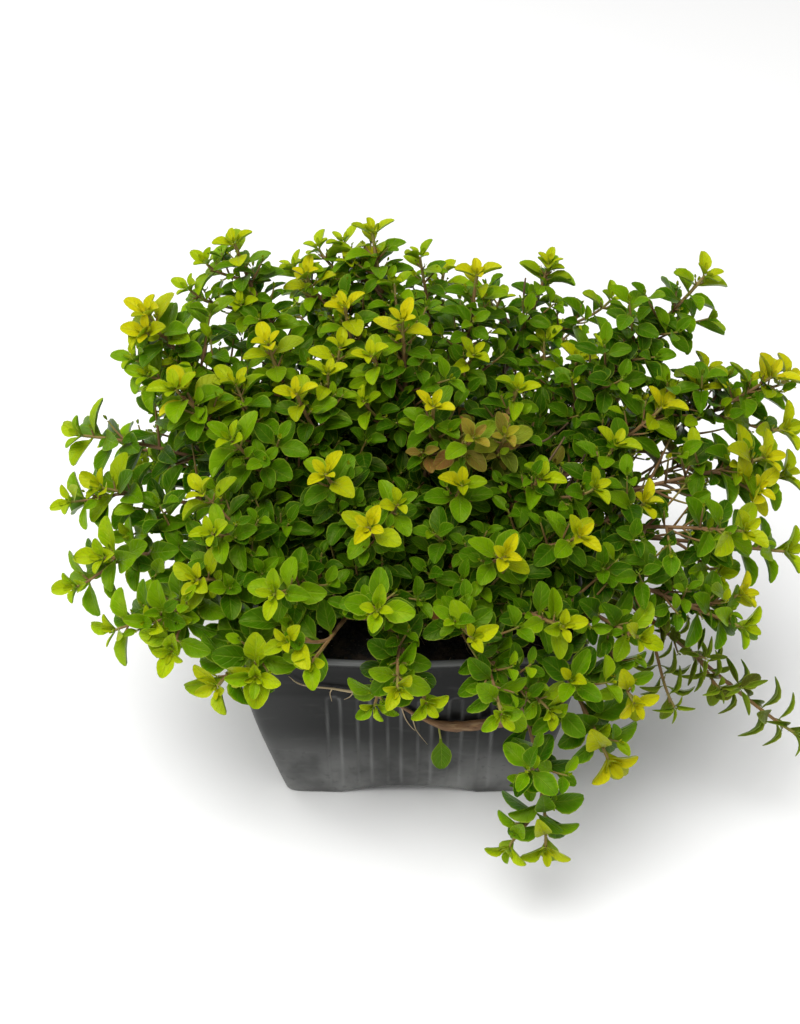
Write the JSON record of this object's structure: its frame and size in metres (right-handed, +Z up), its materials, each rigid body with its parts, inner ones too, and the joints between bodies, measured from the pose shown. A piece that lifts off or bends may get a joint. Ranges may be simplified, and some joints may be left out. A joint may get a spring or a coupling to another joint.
{
  "type": "potted thyme",
  "caption": "Mound of leafy thyme shoots growing over the rim of a small square plastic nursery pot with fluted sides.",
  "frame": {"origin": "middle of the whole plant's footprint, on the surface that the pot stands on", "axes": "+Z up; +X along the plant's longest spread; -Y is the side that the longest shoots hang down"},
  "size_m": [0.2006, 0.1658, 0.1372],
  "materials": {
    "pot_plastic": "satin",
    "potting_mix": "matte",
    "thyme": "satin"
  },
  "bodies": {
    "root": {"pot": "pot_plastic", "potting_mix": "potting_mix", "shoot_back_01": "thyme", "shoot_back_02": "thyme", "shoot_back_03": "thyme", "shoot_back_04": "thyme", "shoot_back_05": "thyme", "shoot_back_06": "thyme", "shoot_back_07": "thyme", "shoot_back_08": "thyme", "shoot_crown_01": "thyme", "shoot_crown_02": "thyme", "shoot_crown_03": "thyme", "shoot_crown_04": "thyme", "shoot_crown_05": "thyme", "shoot_crown_06": "thyme", "shoot_crown_07": "thyme", "shoot_crown_08": "thyme", "shoot_crown_09": "thyme", "shoot_crown_10": "thyme", "shoot_crown_11": "thyme", "shoot_front_01": "thyme", "shoot_front_02": "thyme", "shoot_front_03": "thyme", "shoot_front_04": "thyme", "shoot_front_05": "thyme", "shoot_front_06": "thyme", "shoot_front_07": "thyme", "shoot_front_08": "thyme", "shoot_front_09": "thyme", "shoot_front_10": "thyme", "shoot_front_11": "thyme", "shoot_front_12": "thyme", "shoot_front_13": "thyme", "shoot_front_14": "thyme", "shoot_front_15": "thyme", "shoot_front_16": "thyme", "shoot_front_17": "thyme", "shoot_front_18": "thyme", "shoot_left_01": "thyme", "shoot_left_02": "thyme", "shoot_left_03": "thyme", "shoot_left_04": "thyme", "shoot_left_05": "thyme", "shoot_left_06": "thyme", "shoot_right_01": "thyme", "shoot_right_02": "thyme", "shoot_right_03": "thyme", "shoot_right_04": "thyme", "shoot_right_05": "thyme", "shoot_right_06": "thyme", "shoot_right_07": "thyme", "shoot_right_08": "thyme", "shoot_right_09": "thyme", "shoot_right_10": "thyme", "shoot_side_01": "thyme", "shoot_side_02": "thyme"}
  },
  "joints": []
}
